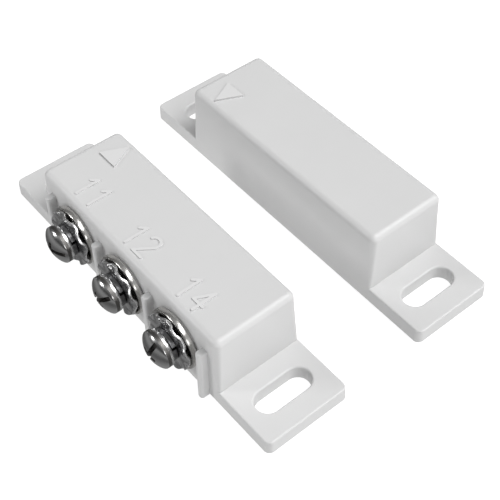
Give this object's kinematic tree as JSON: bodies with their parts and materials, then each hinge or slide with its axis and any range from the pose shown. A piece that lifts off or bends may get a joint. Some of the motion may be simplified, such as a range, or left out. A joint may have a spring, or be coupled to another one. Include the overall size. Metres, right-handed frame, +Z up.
{
  "type": "door contact sensor",
  "caption": "Surface-mount magnetic door contact: a reed-switch unit with side screw terminals and dividing ribs, beside a matching magnet unit, both with slotted fixing tabs.",
  "frame": {"origin": "centre of the switch unit's flat mounting face", "axes": "+X along both units, -Y the side with the screw terminals, +Y towards the magnet unit, +Z up out of the mounting surface"},
  "size_m": [0.065, 0.048, 0.0135],
  "materials": {
    "white_plastic": "satin moulded",
    "cover_plastic": "satin moulded",
    "cradle_plastic": "matte moulded",
    "reed_glass": "clear, green tint",
    "reed_metal": "bright flat strip",
    "nickel": "turned, nickel plated",
    "screw_nickel": "nickel plated",
    "bright_zinc": "stamped, bright plated",
    "spring_steel": "spring steel, dull plated",
    "brass": "stamped",
    "wire_insulation": "extruded",
    "magnet_metal": "ground",
    "foam": "closed-cell foam"
  },
  "bodies": {
    "switch_unit": {"switch_housing": "white_plastic", "switch_base_cover": "cover_plastic", "reed_cradle": "cradle_plastic", "reed_capsule": "reed_glass", "reed_common_lead": "reed_metal", "reed_closed_contact": "reed_metal", "reed_open_contact": "reed_metal", "common_terminal_insert": "nickel", "common_solder_tag": "brass", "common_lead_wire": "wire_insulation", "closed_terminal_insert": "nickel", "closed_solder_tag": "brass", "closed_lead_wire": "wire_insulation", "open_terminal_insert": "nickel", "open_solder_tag": "brass", "open_lead_wire": "wire_insulation"},
    "reed_switch_blade": {"reed_blade": "reed_metal"},
    "magnet_unit": {"magnet_housing": "white_plastic", "magnet_base_cover": "cover_plastic", "bar_magnet": "magnet_metal", "magnet_saddles": "cradle_plastic", "magnet_pad": "foam"},
    "common_washers": {"common_wave_washer": "bright_zinc", "common_spring_washer": "spring_steel"},
    "common_screw": {"common_terminal_screw": "screw_nickel"},
    "closed_washers": {"closed_wave_washer": "bright_zinc", "closed_spring_washer": "spring_steel"},
    "closed_screw": {"closed_terminal_screw": "screw_nickel"},
    "open_washers": {"open_wave_washer": "bright_zinc", "open_spring_washer": "spring_steel"},
    "open_screw": {"open_terminal_screw": "screw_nickel"}
  },
  "joints": [
    {"name": "magnet_unit_slide", "type": "slide", "parent": "switch_unit", "child": "magnet_unit", "axis": [0, 1, 0], "range_m": [-0.0129, 0.06]},
    {"name": "reed_blade_bend", "type": "hinge", "parent": "switch_unit", "child": "reed_switch_blade", "pos_m": [-0.0067, 0.00302, 0.0055], "axis": [0, 0, 1], "range_deg": [0, 1.2], "stiffness_Nm_per_rad": 0.002},
    {"name": "common_washers_slide", "type": "slide", "parent": "switch_unit", "child": "common_washers", "axis": [0, -1, 0], "range_m": [0, 0.0025]},
    {"name": "common_screw_turn", "type": "hinge", "parent": "common_washers", "child": "common_screw", "pos_m": [-0.0126, -0.01, 0.0066], "axis": [0, -1, 0], "range_deg": [0, 1801]},
    {"name": "closed_washers_slide", "type": "slide", "parent": "switch_unit", "child": "closed_washers", "axis": [0, -1, 0], "range_m": [0, 0.0025]},
    {"name": "closed_screw_turn", "type": "hinge", "parent": "closed_washers", "child": "closed_screw", "pos_m": [0, -0.01, 0.0066], "axis": [0, -1, 0], "range_deg": [0, 1801]},
    {"name": "open_washers_slide", "type": "slide", "parent": "switch_unit", "child": "open_washers", "axis": [0, -1, 0], "range_m": [0, 0.0025]},
    {"name": "open_screw_turn", "type": "hinge", "parent": "open_washers", "child": "open_screw", "pos_m": [0.0126, -0.01, 0.0066], "axis": [0, -1, 0], "range_deg": [0, 1801]}
  ],
  "couplings": [
    {"joint": "common_screw_turn", "follows": "common_washers_slide", "rad_per_m": 12566},
    {"joint": "closed_screw_turn", "follows": "closed_washers_slide", "rad_per_m": 12566},
    {"joint": "open_screw_turn", "follows": "open_washers_slide", "rad_per_m": 12566}
  ]
}
